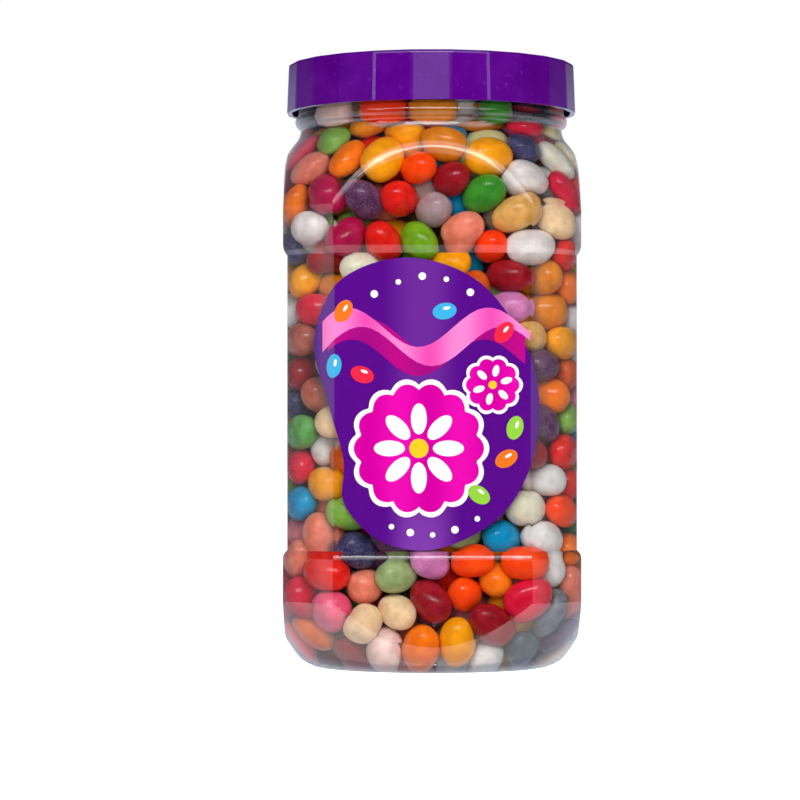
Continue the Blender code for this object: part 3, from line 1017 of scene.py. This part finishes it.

# %% [markdown]
# ## The core
# Between the sweets one looks into dark gaps and at last onto the core. It is a soft-edged
# block in the mixed, deep colours that many sweets make together, made dark brown by painted shade.

# %% Core
bm = bmesh.new()
low, high = CORE_HEIGHTS
bmesh.ops.create_cube(bm, size=1.0)
core_size = (2 * (CORE_HALF - 1) * MM, 2 * (CORE_HALF - 1) * MM, (high - low - 2) * MM)
bmesh.ops.scale(bm, verts=bm.verts, vec=core_size)
bmesh.ops.translate(bm, verts=bm.verts, vec=(0, 0, (low + high) / 2 * MM))
bevel(bm, list(bm.edges), CORE_CORNER * MM, segments=6)
bmesh.ops.subdivide_edges(bm, edges=bm.edges, cuts=3, use_grid_fill=True)
core_finish = Finish("core_mix_and_painted_shade")
patches = core_finish.ramp(core_finish.noise(9 * MM, detail=1.0), 0.35, 0.65)
# painted shade: dark browns for the sweets deep in the pile, darker than their own colours
core_finish.link(core_finish.mix(patches, linear("#5A1E10"), linear("#6A4A22")),
                 core_finish.shader.inputs["Base Color"])
core_finish.set(Roughness=0.6)
core_finish.bump(core_finish.noise(5 * MM), strength=0.8, distance=2 * MM)
core = piece("sweets_core", bm, core_finish.material, "jelly_beans")

# %% [markdown]
# ## Light and floor
# The jar stands on a pale floor in a white studio, lit from the front by one long, low soft box
# and by a fill beside the camera, so that the sweets are bright in the middle and the gaps
# between them are dark. What the clear plastic mirrors is set separately, by the world as
# mirrored rays see it: boards at the sides give the pale veil on the barrel, the floor gives
# the veil at the foot, a glow above the soft box gives the line on the step, and a dark
# curtain behind the camera keeps the flat front clear.

# %% World
world = bpy.data.worlds.new("studio")
world.use_nodes = True
bpy.context.scene.world = world
tree = world.node_tree
tree.nodes.clear()
SOFT_LIGHT = 0.12


def world_node(kind, **inputs):
    """Adds a node to the world and fills its sockets with numbers or links."""
    made = tree.nodes.new(kind)
    for name, value in inputs.items():
        slot = made.inputs[name.replace("_", " ")]
        if isinstance(value, bpy.types.NodeSocket):
            tree.links.new(value, slot)
        else:
            slot.default_value = value
    return made


def world_ramp(value, low, high, to_low, to_high):
    made = world_node("ShaderNodeMapRange", Value=value, From_Min=low, From_Max=high,
                      To_Min=to_low, To_Max=to_high)
    made.interpolation_type = "SMOOTHSTEP"
    return made.outputs[0]


def world_math(kind, a, b=0.0):
    made = tree.nodes.new("ShaderNodeMath")
    made.operation = kind
    for slot, value in zip(made.inputs, (a, b)):
        if isinstance(value, bpy.types.NodeSocket):
            tree.links.new(value, slot)
        else:
            slot.default_value = value
    return made.outputs[0]


def glow(strength, colour=(1.0, 1.0, 1.0)):
    return world_node("ShaderNodeBackground", Color=(*colour, 1.0), Strength=strength).outputs[0]


def choose(factor, first, second):
    """The second light where factor is 1, else the first."""
    made = tree.nodes.new("ShaderNodeMixShader")
    for slot, value in zip(made.inputs, (factor, first, second)):
        tree.links.new(value, slot)
    return made.outputs[0]


direction = world_node("ShaderNodeTexCoord").outputs["Generated"]
parts = world_node("ShaderNodeSeparateXYZ", Vector=direction).outputs
degrees = 180 / math.pi
turn = world_math("ARCTAN2", parts["X"], world_math("MULTIPLY", parts["Y"], -1.0))
turn = world_math("MULTIPLY", world_math("ABSOLUTE", turn), degrees)
rise = world_math("MULTIPLY", world_math("ARCSINE", parts["Z"]), degrees)
side = world_ramp(turn, 54.0, 64.0, 0.0, 1.0)
low = world_ramp(rise, 5.5, 9.0, 1.0, 0.05)
side_end = world_ramp(turn, 76.0, 88.0, 1.0, 0.35)
boards = world_math("MULTIPLY", world_math("MULTIPLY", world_math("MULTIPLY", side, side_end), low),
                    world_ramp(parts["X"], -0.3, 0.3, 1.1, 0.75))
middle = world_math("SUBTRACT", 1.0, side)
above = world_math("MULTIPLY", world_ramp(rise, 14.0, 25.0, 0.0, 1.0),
                   world_ramp(rise, 34.0, 64.0, 3.4, 0.1))
patch = world_math("MULTIPLY", world_ramp(turn, 11.0, 14.0, 1.2, 0.0),
                   world_math("MULTIPLY", world_ramp(rise, 6.5, 8.0, 0.0, 1.0),
                              world_ramp(rise, 16.0, 22.0, 1.0, 0.0)))
front = world_math("MULTIPLY", middle, world_math("ADD", above, patch))
strip = world_ramp(world_math("ABSOLUTE", world_math("SUBTRACT", turn, 45.0)), 2.5, 5.0, 3.0, 0.0)
strip = world_math("MULTIPLY", strip, world_ramp(world_math(
    "ABSOLUTE", world_math("SUBTRACT", rise, 13.0)), 5.0, 8.0, 1.0, 0.0))
ground = world_ramp(rise, -30.0, -18.0, 1.3, 0.0)
whole = world_math("ADD", world_math("ADD", boards, front), world_math("ADD", strip, ground))
path = world_node("ShaderNodeLightPath").outputs
deep = world_math("MULTIPLY", path["Is Glossy Ray"], world_ramp(path["Ray Depth"], 2.2, 2.8, 0.0, 0.9))
whole = world_math("MULTIPLY", whole, world_math("SUBTRACT", 1.0, deep))
mirrored = choose(world_ramp(turn, 112.0, 130.0, 0.0, 1.0), glow(whole),
                  glow(world_math("MULTIPLY", low, 0.85), (0.80, 0.87, 1.0)))
behind = world_ramp(parts["Y"], 0.80, 0.95, 0.0, 1.0)
through = choose(behind, mirrored, glow(1.0))
seen = choose(path["Is Diffuse Ray"], mirrored, glow(SOFT_LIGHT))
seen = choose(path["Is Transmission Ray"], seen, through)
seen = choose(path["Is Camera Ray"], seen, glow(1.0))
world_node("ShaderNodeOutputWorld", Surface=seen)


# %% Soft boxes
def soft_box(name, place, target, size, watts, mirrored=True):
    """A rectangular lamp that shines from place towards target."""
    data = bpy.data.lights.new(name, "AREA")
    data.shape = "RECTANGLE"
    data.size, data.size_y = size
    data.energy = watts
    lamp = bpy.data.objects.new(name, data)
    lamp.location = place
    lamp.rotation_euler = (Vector(target) - Vector(place)).to_track_quat("-Z", "Y").to_euler()
    lamp.visible_camera = False
    lamp.visible_transmission = False
    lamp.visible_glossy = mirrored
    bpy.context.collection.objects.link(lamp)
    return lamp


MIDDLE = (0.0, 0.0, 0.09)
soft_box("long_box", (0.0, -0.9, 0.72), MIDDLE, (0.80, 0.28), 4.6)
soft_box("fill_box", (0.0, -1.5, 0.30), MIDDLE, (0.8, 0.8), 9.4, mirrored=False)

# %% Floor
bm = bmesh.new()
bmesh.ops.create_circle(bm, cap_ends=True, segments=96, radius=6.0)
floor_mesh = bpy.data.meshes.new("floor")
bm.to_mesh(floor_mesh)
bm.free()
floor_finish = Finish("floor_paper")
grain = floor_finish.ramp(floor_finish.noise(2 * MM), 0.3, 0.7)
floor_finish.link(floor_finish.mix(grain, (0.90, 0.90, 0.90), (0.93, 0.93, 0.93)),
                  floor_finish.shader.inputs["Base Color"])
floor_finish.set(Roughness=0.8, Emission_Color=(1.0, 1.0, 1.0, 1.0))
unlit = floor_finish.tree.nodes.new("ShaderNodeLightPath").outputs["Is Diffuse Ray"]
floor_finish.link(floor_finish.ramp(unlit, 0.0, 1.0, 0.92, 0.0),
                  floor_finish.shader.inputs["Emission Strength"])
floor_mesh.materials.append(floor_finish.material)
floor = bpy.data.objects.new("floor", floor_mesh)
floor.location.z = -0.1 * MM
bpy.context.collection.objects.link(floor)
floor.visible_glossy = False
bpy.context.scene.view_settings.view_transform = "Standard"
